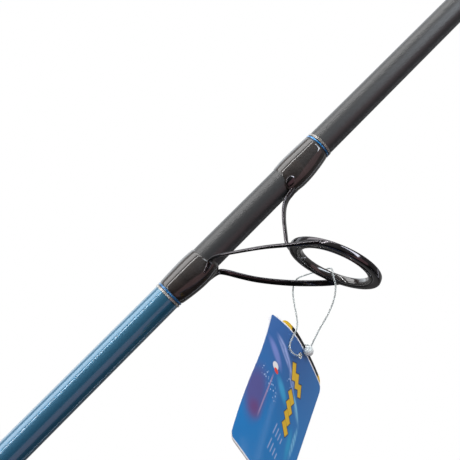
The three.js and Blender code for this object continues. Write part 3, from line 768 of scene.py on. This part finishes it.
def make_lock_nut():
    """A ring with rounded flutes between two plain lips."""
    start, end = span_of("lock_nut")
    bore, outside = SEAT_RADIUS + 0.3, 15.2
    loop = subdivided(filleted([(start, outside), (end, outside), (end, bore), (start, bore)], 0.8), 0.4)

    def fluted(station, angle, radius):
        if radius < bore + 1:
            return radius
        lip = min(1.0, max(0.0, (min(station - start, end - station) - 1.8) / 0.8))
        return radius - lip * 0.95 * abs(sin(angle * 12)) ** 1.5

    stand_for(lathe("fluted_lock_nut", loop, fluted, segments=192), "lock_nut")


# ---- Thread wraps ----
WRAP_GAP = 0.02  # between a blank and the thread on it
WRAP_SKIN, WRAP_EDGE, WRAP_LIP = 0.06, 0.3, 0.5  # epoxy's least height, height at its ends, their length

FOOT_RISE_SHARE = 0.75  # of a wrap's length, in which its hump over the foot rises
RUN_OUT_START = 0.45  # the share of its length after which the epoxy reaches out along the foot


def bind(node, name, steps, height_at, shape=None, slide=None):
    """A sleeve on the blank along a node's stations, height_at(t) above it at t from 0 to 1."""
    start, end = span_of(node)
    outer = []
    for step in range(steps + 1):
        t = step / steps
        station = start + t * (end - start)
        outer.append((station, blank_radius(station) + height_at(t)))
    inner = [(x, blank_radius(x) + WRAP_GAP) for x in (end, start)]
    stand_for(lathe(name, outer + inner, shape, 128, slide=slide), node)


def make_wrap(node, name, root_end, height, foot=0.0, foot_width=5.4, belly=0.5, sag=0.0, reach=0.0):
    """Thread under epoxy: fullest at belly along its length, with a hump over the foot under it.

    root_end is 1 if the foot's root comes out at the far end, -1 at the near end, and 0 for no foot.
    At that end the epoxy runs out along the foot by reach.
    """
    start, end = span_of(node)
    length = end - start

    def height_at(t):
        spread = abs(t - belly) / (belly if t < belly else 1 - belly)
        full = height * (1 - spread**2) + WRAP_EDGE * spread**2
        inset = min(t, 1 - t) * length / WRAP_LIP
        lip = sqrt(1 - (1 - inset) ** 2) if inset < 1 else 1.0
        return WRAP_SKIN + (full - WRAP_SKIN) * lip

    def toward_root(station):
        t = (station - start) / length
        return t if root_end > 0 else 1 - t

    def over_foot(station, angle, radius):
        blank = blank_radius(station)
        if radius < blank + 2 * WRAP_GAP or not (foot or sag):
            return radius
        away = angle_from_guides(angle)
        ramp = min(1.0, toward_root(station) / FOOT_RISE_SHARE) ** 1.3
        half = foot_width / 2 / blank * (0.5 + 0.5 * ramp)
        hump = foot * ramp / (1 + (away / half) ** 4)
        t = (station - start) / length
        tail = min(1.0, (min(t, 1 - t) * length) / 0.8)
        return radius + (hump + sag * cos(away) * (1 - (2 * t - 1) ** 2)) * tail

    def run_out(station, angle):
        share = max(0.0, toward_root(station) - RUN_OUT_START) / (1 - RUN_OUT_START)
        return root_end * reach * share**2 / (1 + (angle_from_guides(angle) / 0.75) ** 4)

    bind(node, name, 48, height_at, over_foot, run_out if reach else None)


BAND_HEIGHT, BAND_LIP, BAND_THREAD = 0.32, 0.2, 0.24  # BAND_THREAD is one thread's width


def make_band(node, name):
    """A few turns of bright thread under the epoxy's edge."""
    start, end = span_of(node)
    length = end - start

    def height_at(t):
        lip = min(1.0, min(t, 1 - t) * length / BAND_LIP)
        rise = BAND_HEIGHT * sqrt(lip * (2 - lip)) + 0.03 * sin(t * length * 2 * pi / BAND_THREAD)
        return max(0.05, rise)

    bind(node, name, 24, height_at)


# ---- Guides ----
def closed_rows(rows, columns, in_a_ring=False):
    """Faces between rows of points that each close on themselves. in_a_ring also joins the last row
    to the first."""
    faces = []
    for row in range(rows if in_a_ring else rows - 1):
        here, after = row * columns, (row + 1) % rows * columns
        for column in range(columns):
            beside = (column + 1) % columns
            faces.append((here + column, here + beside, after + beside, after + column))
    return faces


def squarish(angle, power):
    """An angle's cosine and sine, which leave the circle for a square as power drops below 1."""
    return [abs(v) ** power * (1 if v > 0 else -1) for v in (cos(angle), sin(angle))]


def sweep(route, width, thickness, face_start, face_end=None, spacing=0.8, sides=16, power=0.55):
    """A strip with rounded edges along a smooth curve, as (vertices, faces)."""
    points = smooth_route(route, spacing)
    face_end = face_end or face_start
    vertices = []
    last = len(points) - 1
    for index, point in enumerate(points):
        t = index / last
        tangent = (points[min(index + 1, last)] - points[max(index - 1, 0)]).normalized()
        across = tangent.cross(Vector(face_start).lerp(Vector(face_end), t)).normalized()
        out = across.cross(tangent).normalized()
        half_width = (width[0] + (width[1] - width[0]) * t) / 2
        half_thickness = (thickness[0] + (thickness[1] - thickness[0]) * t) / 2
        for k in range(sides):
            c, s = squarish(2 * pi * k / sides, power)
            vertices.append(point + across * half_width * c + out * half_thickness * s)
    ends = [tuple(range(sides))[::-1], tuple(range(last * sides, (last + 1) * sides))]
    return vertices, closed_rows(last + 1, sides) + ends


def ring_section(inner, outer, thickness, power):
    """The outline of a ring's body: an ellipse whose sides flatten as power drops below 1."""
    middle, half = (inner + outer) / 2, (outer - inner) / 2
    sides = 28
    spots = [squarish(2 * pi * k / sides, power) for k in range(sides)]
    return [(-thickness / 2 * s, middle + half * c) for c, s in spots]


def leaning(tilt):
    """Turns a guide ring's own axis, along X, so that its far side leans towards the tip."""
    return Matrix.Rotation(-tilt, 3, "Y")


def joined(name, parts):
    """One object of several (vertices, faces)."""
    vertices, faces = [], []
    for part_vertices, part_faces in parts:
        base = len(vertices)
        vertices += part_vertices
        faces += [tuple(index + base for index in face) for face in part_faces]
    return make_object(name, vertices, faces)


def fused(piece, voxel, relax):
    """Makes one closed skin of overlapping parts, as brazing does, and eases its creases."""
    remesh = piece.modifiers.new("remesh", "REMESH")
    remesh.mode = "VOXEL"
    remesh.voxel_size = voxel * MM
    smooth = piece.modifiers.new("smooth", "SMOOTH")
    smooth.factor = 0.5
    smooth.iterations = relax
    bpy.context.view_layer.update()
    evaluated = piece.evaluated_get(bpy.context.evaluated_depsgraph_get())
    mesh = bpy.data.meshes.new_from_object(evaluated)
    piece.modifiers.clear()
    piece.data = mesh
    mesh.shade_smooth()
    return piece


def ring_parts(section, centre, tilt, segments=144):
    """A ring of that section round centre, as (vertices, faces)."""
    turn = leaning(tilt)
    vertices = []
    for k in range(segments):
        angle = 2 * pi * k / segments
        vertices += [turn @ Vector((x, r * sin(angle), -r * cos(angle))) + centre for x, r in section]
    return vertices, closed_rows(segments, len(section), in_a_ring=True)


def ring_size(node, tilt):
    """A guide insert's centre, inner and outer radius and thickness, in the rod's own frame."""
    points = rod_points(node)
    centre = sum(points, Vector()) / len(points)
    local = [leaning(tilt).inverted() @ (p - centre) for p in points]
    radii = [hypot(p.y, p.z) for p in local]
    depths = [p.x for p in local]
    return centre, min(radii), max(radii), max(depths) - min(depths)


def ring_point(centre, radius, turn, tilt):
    """A point on a leaning ring: turn is 0 at the point nearest the blank."""
    return centre + leaning(tilt) @ Vector((0, radius * sin(turn), radius * cos(turn)))


def make_insert(node, name, tilt):
    """The polished ceramic ring, a half-round lip. Returns its centre, outer radius and thickness."""
    centre, inner, outer, thickness = ring_size(node, tilt)
    section = ring_section(inner, outer + 0.25, thickness, 0.72)
    vertices, faces = ring_parts(section, centre, tilt)
    piece = clean(make_object(name, vertices, faces), 60)
    stand_for(piece, node)
    return centre, outer, thickness


FOOT_THICKNESS = 0.9
FOOT_GAP = 0.3


def foot_level(radius):
    """The height of a foot's middle where the blank has that radius."""
    return -(radius + FOOT_GAP + FOOT_THICKNESS / 2)


def foot_parts(tip, root, radius, width):
    """A foot that lies along the blank and thins towards its tip."""
    depth = foot_level(radius)
    route = [(tip, 0, depth), ((tip + root) / 2, 0, depth), (root, 0, depth)]
    return sweep(route, (width * 0.4, width), (FOOT_THICKNESS * 0.7, FOOT_THICKNESS), (0, 0, -1))


def heel(station, angle, radius, size):
    """A rounded shoulder of a foot, as a flattened ball of that half-size along, round and off the blank."""
    along, round_way, off = size
    vertices = []
    rows, columns = 12, 24
    for row in range(rows + 1):
        tilt = pi * row / rows
        for column in range(columns):
            turn = 2 * pi * column / columns
            x = along * sin(tilt) * cos(turn)
            across = round_way * sin(tilt) * sin(turn)
            reach = radius + off * cos(tilt)
            away = angle + across / radius
            vertices.append(Vector((station + x, reach * sin(away), -reach * cos(away))))
    return vertices, closed_rows(rows + 1, columns)


def make_stripper_guide():
    """Two flat legs run from the rear foot to the ring's sides, and one from the front foot to its
    near point."""
    centre, split, _ = make_insert("stripper_guide_ring", "stripper_ceramic_ring", GUIDE_TILT)
    at = RING_STATION
    rear_radius, front_radius = blank_radius(at - 38), blank_radius(at + 15)
    rear_depth, front_depth = foot_level(rear_radius), foot_level(front_radius)
    parts = [
        ring_parts(ring_section(split + 0.1, 21.8, 3.3, 0.5), centre, GUIDE_TILT),
        foot_parts(at - 58, at - 37, rear_radius, 5.4),
        foot_parts(at + 36, at + 14, front_radius, 4.3),
    ]
    for side in (-1, 1):
        leg = [
            (-43, side * 2.8, rear_depth),
            (-39.4, side * 4.6, -7.2),
            (-36.8, side * 6.5, -7.1),
            (-34.4, side * 8.9, -9.2),
            (-31.8, side * 11.5, -12.8),
            (-26.9, side * 15.2, -19.6),
            (-17.9, side * 19.2, -30.5),
            (-9.5, side * 20.6, -40.2),
            (-4.6, side * 21.1, -45.4),
            (-0.8, side * 20.9, -49.2),
        ]
        route = [(x + at, y, z) for x, y, z in leg]
        parts.append(sweep(route, (3.2, 3.0), (1.4, 1.8), (-0.1, 0, -1), (-0.55, -side * 0.85, -0.6)))
        parts.append(heel(at + 17.4, side * 0.58, front_radius + 0.95, (3.1, 2.9, 0.8)))
    neck = [
        (18, front_depth), (14.2, -8.3), (10.4, -8.9), (7.0, -10.6), (2.4, -14.8), (-3.3, -21.7),
        (-7.1, -27), (-7.9, -31.6),
    ]
    parts.append(sweep([(x + at, 0, z) for x, z in neck], (5.2, 3.2), (1.3, 1.7), (0, 0, -1), (1, 0, 0.2)))
    frame_piece = fused(joined("stripper_frame", parts), 0.2, 6)
    stand_for(frame_piece, "stripper_guide_frame")

    for place, root_end, foot_width, belly, sag, reach in (
        ("rear", 1, 8.5, 0.6, 0.5, 3.2),
        ("front", -1, 8.0, 0.4, 0.55, 3.6),
    ):
        node = f"stripper_{place}_wrap"
        make_wrap(node, f"{place}_wrap", root_end, 1.2, 0.95, foot_width, belly, sag, reach)
    for place in ("rear_silver", "rear_blue", "front_blue", "front_silver"):
        make_band(f"{place}_band", f"{place}_thread")


def make_running_guide(name, feet):
    """A wire frame on one foot or two, whose legs reach the ring's sides."""
    centre, split, thickness = make_insert(f"{name}_ring", f"{name}_ceramic", GUIDE_TILT)
    height = -centre.z
    station = centre.x
    points = rod_points(f"{name}_frame")
    local = [leaning(GUIDE_TILT).inverted() @ (p - centre) for p in points]
    radius = max(hypot(p.y, p.z) for p in local if abs(p.x) < thickness / 2 and p.z < 0)
    wire = max(1.1, radius * 0.1)
    rear_root = station - height * 0.55
    rear_tip = min(p.x for p in points)
    rear_radius = blank_radius(rear_tip)
    foot_depth = foot_level(rear_radius)
    width = wire * 2.6
    parts = [
        ring_parts(ring_section(split + 0.08, radius, thickness, 0.55), centre, GUIDE_TILT, 96),
        foot_parts(rear_tip, rear_root + 1, rear_radius, width),
    ]
    for side in (-1, 1):
        end = ring_point(centre, (split + radius) / 2, side * 1.15, GUIDE_TILT)
        rise = height - rear_radius
        route = [
            (rear_root - 1, side * wire * 0.5, foot_depth),
            (rear_root + 1.5, side * wire * 0.9, foot_depth - 0.5),
            (station - height * 0.33, end.y * 0.75, -(rear_radius + rise * 0.42)),
            tuple(end),
        ]
        parts.append(sweep(route, (wire, wire), (wire, wire), (0, 0, -1), (0, side, 0.2), 0.6, 12, 1.0))
    if feet == 2:
        front_root = station + height * 0.3
        front_tip = max(p.x for p in points if p.z > -blank_radius(p.x) - 2)
        front_radius = blank_radius(front_root)
        depth = foot_level(front_radius)
        near = ring_point(centre, (split + radius) / 2, 0, GUIDE_TILT)
        parts.append(foot_parts(front_tip, front_root - 1, front_radius, width))
        route = [
            (front_root + 1, 0, depth),
            (front_root - 2.5, 0, depth - 0.6),
            ((front_root + near.x) / 2, 0, (near.z - front_radius) / 2 - 1),
            tuple(near),
        ]
        parts.append(sweep(route, (wire * 1.4,) * 2, (wire, wire), (0, 0, -1), (1, 0, 0.2), 0.6, 12, 1.0))
        make_wrap(f"{name}_front_wrap", f"{name}_front_thread", -1, 1.7, foot=0.7, foot_width=width, sag=0.3)
    stand_for(fused(joined(f"{name}_wire", parts), 0.2, 4), f"{name}_frame")
    make_wrap(f"{name}_wrap", f"{name}_thread", 1, 1.7, foot=0.7, foot_width=width, sag=0.3)


def make_hook_keeper():
    """A bent wire eye between two short wraps."""
    start, end = span_of("hook_keeper")
    middle = (start + end) / 2
    wire = 1.2
    rest = -(blank_radius(middle) + 0.3 + wire / 2)
    drop = [(-16, 0), (-8, 0), (-5.5, -1), (-4, -5), (0, -6.5), (4, -5), (5.5, -1), (8, 0), (16, 0)]
    route = [(middle + x, 0, rest + z) for x, z in drop]
    vertices, faces = sweep(route, (wire, wire), (wire, wire), (0, 1, 0), spacing=0.4, sides=16, power=1.0)
    stand_for(clean(make_object("keeper_wire", vertices, faces), 60), "hook_keeper")
    make_wrap("keeper_rear_wrap", "keeper_rear_thread", 1, 1.7, foot=0.9, foot_width=2.6)
    make_wrap("keeper_front_wrap", "keeper_front_thread", -1, 1.7, foot=0.9, foot_width=2.6)


def make_tip_top():
    """A tube over the tip, and a small ring held by two side wires."""
    centre, split, thickness = make_insert("tip_top_ring", "tip_top_ceramic", TIP_TOP_TILT)
    points = rod_points("tip_top_frame")
    tube_start = min(p.x for p in points)
    tube_end = tube_start + 33
    rims = [hypot(p.y, p.z) for p in points if p.x < tube_start + 0.1]
    bore, skin = min(rims), max(rims)
    outline = [(tube_start, skin), (tube_end, skin), (tube_end, bore), (tube_start, bore)]
    tube = subdivided(filleted(outline, 0.2), 0.6)
    radius = 5.0
    parts = [
        ring_parts(ring_section(split + 0.06, radius, thickness, 0.6), centre, TIP_TOP_TILT, 96),
        ring_parts(tube, Vector(), 0, 48),
    ]
    for side in (-1, 1):
        end = ring_point(centre, (split + radius) / 2, side * 1.6, TIP_TOP_TILT)
        route = [
            (tube_start + 20, side * (bore + 0.4), -0.6),
            (tube_end, side * (bore + 0.9), -1.2),
            (tube_end + 6, side * 3.6, centre.z * 0.7),
            tuple(end),
        ]
        parts.append(sweep(route, (1.1, 1.1), (1.1, 1.1), (0, side, 0), None, 0.5, 12, 1.0))
    stand_for(fused(joined("tip_top_wire", parts), 0.14, 3), "tip_top_frame")
    make_wrap("tip_top_wrap", "tip_top_thread", 0, 0.8)


# ---- Tag ----
BEAD_SIDE_RISE = 3.43  # off the even curl, at the card's edge on the bead's side
FLARE, FLARE_SPREAD, TUCK = 3.5, 0.8, 2.4  # the other side's top corner, and its bottom corner


def past(value, start, span):
    """0 up to start, then 1 more for each span beyond it."""
    return max(0.0, (value - start) / span)


def arc(across, up, radius, start, turn, count):
    """Points round a centre on the card, each turned by turn from the last."""
    angles = [start + turn * step for step in range(count)]
    return [(across + radius * cos(angle), up + radius * sin(angle)) for angle in angles]


def make_card(node, name):
    """A curled, laminated card with round corners and a punched hole, which sits shift to one side."""
    offset, rise, width, shift = CARD_LAYOUT[node].values()
    outline = []
    for quarter, (side, end) in enumerate(((1, 1), (-1, 1), (-1, -1), (1, -1))):
        across = shift + side * (width / 2 - CARD_CORNER)
        up = HOLE_INSET + rise - CARD_HEIGHT / 2 + end * (CARD_HEIGHT / 2 - CARD_CORNER)
        outline += arc(across, up, CARD_CORNER, quarter * pi / 2, pi / 16, 9)
    hole = arc(0, 0, CARD_HOLE, 0, pi / 16, 32)
    shape = bmesh.new()
    edges = []
    for loop in (outline, hole):
        ring = [shape.verts.new((0, y, z)) for y, z in loop]
        edges += [shape.edges.new((a, b)) for a, b in zip(ring, [*ring[1:], ring[0]])]
    bmesh.ops.triangle_fill(shape, use_beauty=True, use_dissolve=False, edges=edges)
    # Cuts across the card and up it, so that it can bend.
    for direction, cuts, spacing in (((0, 1, 0), range(-11, 14), 2.1), ((0, 0, 1), range(-15, 2), 4.0)):
        normal = Vector(direction)
        for cut in cuts:
            geometry = [*shape.verts, *shape.edges, *shape.faces]
            bmesh.ops.bisect_plane(shape, geom=geometry, plane_co=normal * cut * spacing, plane_no=normal)
    faces = shape.faces[:]
    front = {vertex: vertex.co.copy() for vertex in shape.verts}
    back_of = {vertex: shape.verts.new(place) for vertex, place in front.items()}
    for face in faces:
        shape.faces.new([back_of[v] for v in reversed(face.verts)])
    for edge in [e for e in shape.edges if len(e.link_faces) == 1 and e.verts[0] in front]:
        a, b = edge.verts
        shape.faces.new((a, b, back_of[b], back_of[a]))

    def curl(place, out):
        """Rolls the card about its height, flatter on the bead's side, and turns its other corners."""
        radius = CARD_BEND + out
        turn = place.y / CARD_BEND
        flat = past(place.y, 0, 28) ** 2
        flare = (past(-place.y, 6, 17.5) * past(place.z, -25, 30)) ** 2
        tuck = (past(-place.y, 2, 21.5) * past(-place.z, 30, 33)) ** 2
        depth = radius * cos(turn) - CARD_BEND + BEAD_SIDE_RISE * flat + TUCK * tuck - FLARE * flare
        return Vector((depth, radius * sin(turn) - FLARE_SPREAD * flare, place.z)) * MM

    half = CARD_THICKNESS / 2
    for vertex, place in front.items():
        vertex.co = curl(place, offset + half)
        back_of[vertex].co = curl(place, offset - half)
    bmesh.ops.recalc_face_normals(shape, faces=shape.faces)
    for face in shape.faces:
        face.smooth = True
        x, y, z = face.normal
        face.material_index = int(abs(x) < 0.35 and abs(y) + abs(z) > 0.9)  # the cut edges are bare stock
    mesh = bpy.data.meshes.new(name)
    shape.to_mesh(mesh)
    shape.free()
    mesh.materials.append(MATERIALS[SLOT_OF[node]])
    mesh.materials.append(CARD_STOCK)
    mesh.set_sharp_from_angle(angle=radians(50))
    piece = add_object(name, mesh)
    piece.matrix_world = Matrix.Translation(AXIS_AT_RING + CARD_HANG * MM) @ CARD_TURN.to_matrix().to_4x4()
    stand_for(piece, node)


def make_bead():
    """A moulded nylon ball, with a short neck where the loop's two ends go in."""
    centre = centre_of("loop_bead")
    low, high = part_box("loop_bead")
    radius = (high.x - low.x) / 2 / MM
    start = AXIS_AT_RING + Vector(CORD_ROUTE[0]) * MM
    axis = (start - centre).normalized()
    turn = axis.to_track_quat("X", "Z").to_matrix()
    loop = [(-radius, 0)]
    for step in range(1, 15):
        angle = pi * (1 - step / 17)
        loop.append((radius * cos(angle), radius * sin(angle)))
    loop += [(radius * 1.0, 0.85), (radius * 1.12, 0.75), (radius * 1.12, 0.5), (radius * 1.0, 0)]

    def seam(station, angle, reach):
        return reach + 0.05 * max(0.0, 1 - abs(angle_from_guides(angle) - pi / 2) / 0.08)

    piece = lathe("nylon_bead", loop, seam, 64, Matrix.Translation(centre) @ turn.to_4x4())
    piece.data.materials.append(BEAD_NYLON)
    return stand_for(piece, "loop_bead")


def make_tag():
    make_card("front_card", "front_swing_card")
    make_card("back_card", "back_swing_card")
    bead = make_bead()
    stand_for(CORD, "tag_cord")


# ---- Studio ----
FLOOR_REACH = 40000  # each way from its middle


def make_floor():
    """A pale sheet under the butt, seen by the camera but kept out of the gloss."""
    level = CAD_BOX[0][2] / MM - 2
    spread = ((-1, -1), (1, -1), (1, 1), (-1, 1))
    corners = [(500 + x * FLOOR_REACH, y * FLOOR_REACH, level) for x, y in spread]
    floor = make_object("floor", corners, [(0, 1, 2, 3)], Matrix.Identity(4))
    paper = Finish("floor_paper", (0.86, 0.86, 0.87), 0.8, Emission_Strength=0.6)
    paper.set("Emission Color", (0.9, 0.9, 0.91, 1))
    paper.set("Base Color", paper.mix(paper.noise(1.5, detail=2), (0.84, 0.84, 0.85), (0.88, 0.88, 0.89)))
    floor.data.materials.append(paper.material)
    floor.visible_glossy = False
    floor.visible_diffuse = False


def make_light(name, direction, distance, width, height, power, color=(1, 1, 1)):
    """A soft rectangle of light that looks at the stripper guide from direction."""
    light = bpy.data.lights.new(name, "AREA")
    light.shape = "RECTANGLE"
    light.size, light.size_y = width, height
    light.energy = power
    light.color = color
    lamp = add_object(name, light)
    direction = direction.normalized()
    lamp.location = AXIS_AT_RING + direction * distance
    along = ROD.to_3x3() @ Vector((1, 0, 0))
    across = direction.cross(along).normalized()
    along = across.cross(direction)
    lamp.rotation_euler = Matrix((along, across, direction)).transposed().to_euler()
    lamp.visible_camera = False


def make_world():
    """White behind the object, and a dim room, brighter overhead, for the gloss to see."""
    world = bpy.data.worlds.new("studio")
    bpy.context.scene.world = world
    world.use_nodes = True
    nodes = Nodes(world.node_tree)
    height = nodes.node("SeparateXYZ", {"Vector": nodes.node("TexCoord", output="Generated")}, output="Z")
    room = nodes.node("MapRange", {"Value": height, "From Min": -0.6, "To Min": 0.03, "To Max": 0.55})
    seen = nodes.node("LightPath", output="Is Camera Ray")
    shade = nodes.node("Mix", {"Factor": seen, 6: room, 7: (1, 1, 1, 1)}, output=2, data_type="RGBA")
    nodes.feed(nodes.tree.nodes["Background"].inputs["Color"], shade)


def make_studio():
    bpy.context.scene.view_settings.view_transform = "Standard"
    make_camera()
    make_floor()
    make_world()
    upper_left = (UP - RIGHT).normalized()
    toward = -FORWARD

    def off_axis(degrees):
        """A direction from the guide, turned from the camera towards the upper left."""
        return toward * cos(radians(degrees)) + upper_left * sin(radians(degrees))

    # Each light's direction, distance in metres, width along the rod, height, watts and colour.
    make_light("key", off_axis(86), 1.6, 4.2, 0.9, 42)
    make_light("strip", off_axis(57), 1.5, 4.2, 0.05, 17)
    make_light("warm_fill", off_axis(-42), 1.8, 3.4, 1.3, 8.5, (1, 0.58, 0.62))
    make_light("low_strip", off_axis(-112), 1.8, 3.0, 0.07, 2.2, (0.85, 0.9, 1))
    make_light("rim", off_axis(142), 1.8, 3.0, 1.2, 13, (0.85, 0.93, 1))
    window = ROD.to_3x3() @ Vector((0.68, -0.62, -0.4))
    make_light("window", window, 1.5, 0.3, 1.2, 14, (0.85, 0.92, 1))


def make_rod():
    make_blanks()
    make_butt_cap()
    make_grips()
    make_reel_seat()
    make_hood("fixed_hood", "fore_hood", -1)
    make_hood("sliding_hood", "rear_hood", 1)
    make_lock_nut()
    make_hook_keeper()
    make_stripper_guide()
    make_running_guide("second_guide", 2)
    for place in ("third", "fourth", "fifth", "sixth"):
        make_running_guide(f"{place}_guide", 1)
    make_wrap("ferrule_wrap", "ferrule_thread", 0, 0.9)
    make_tip_top()


make_rod()
make_tag()
make_studio()
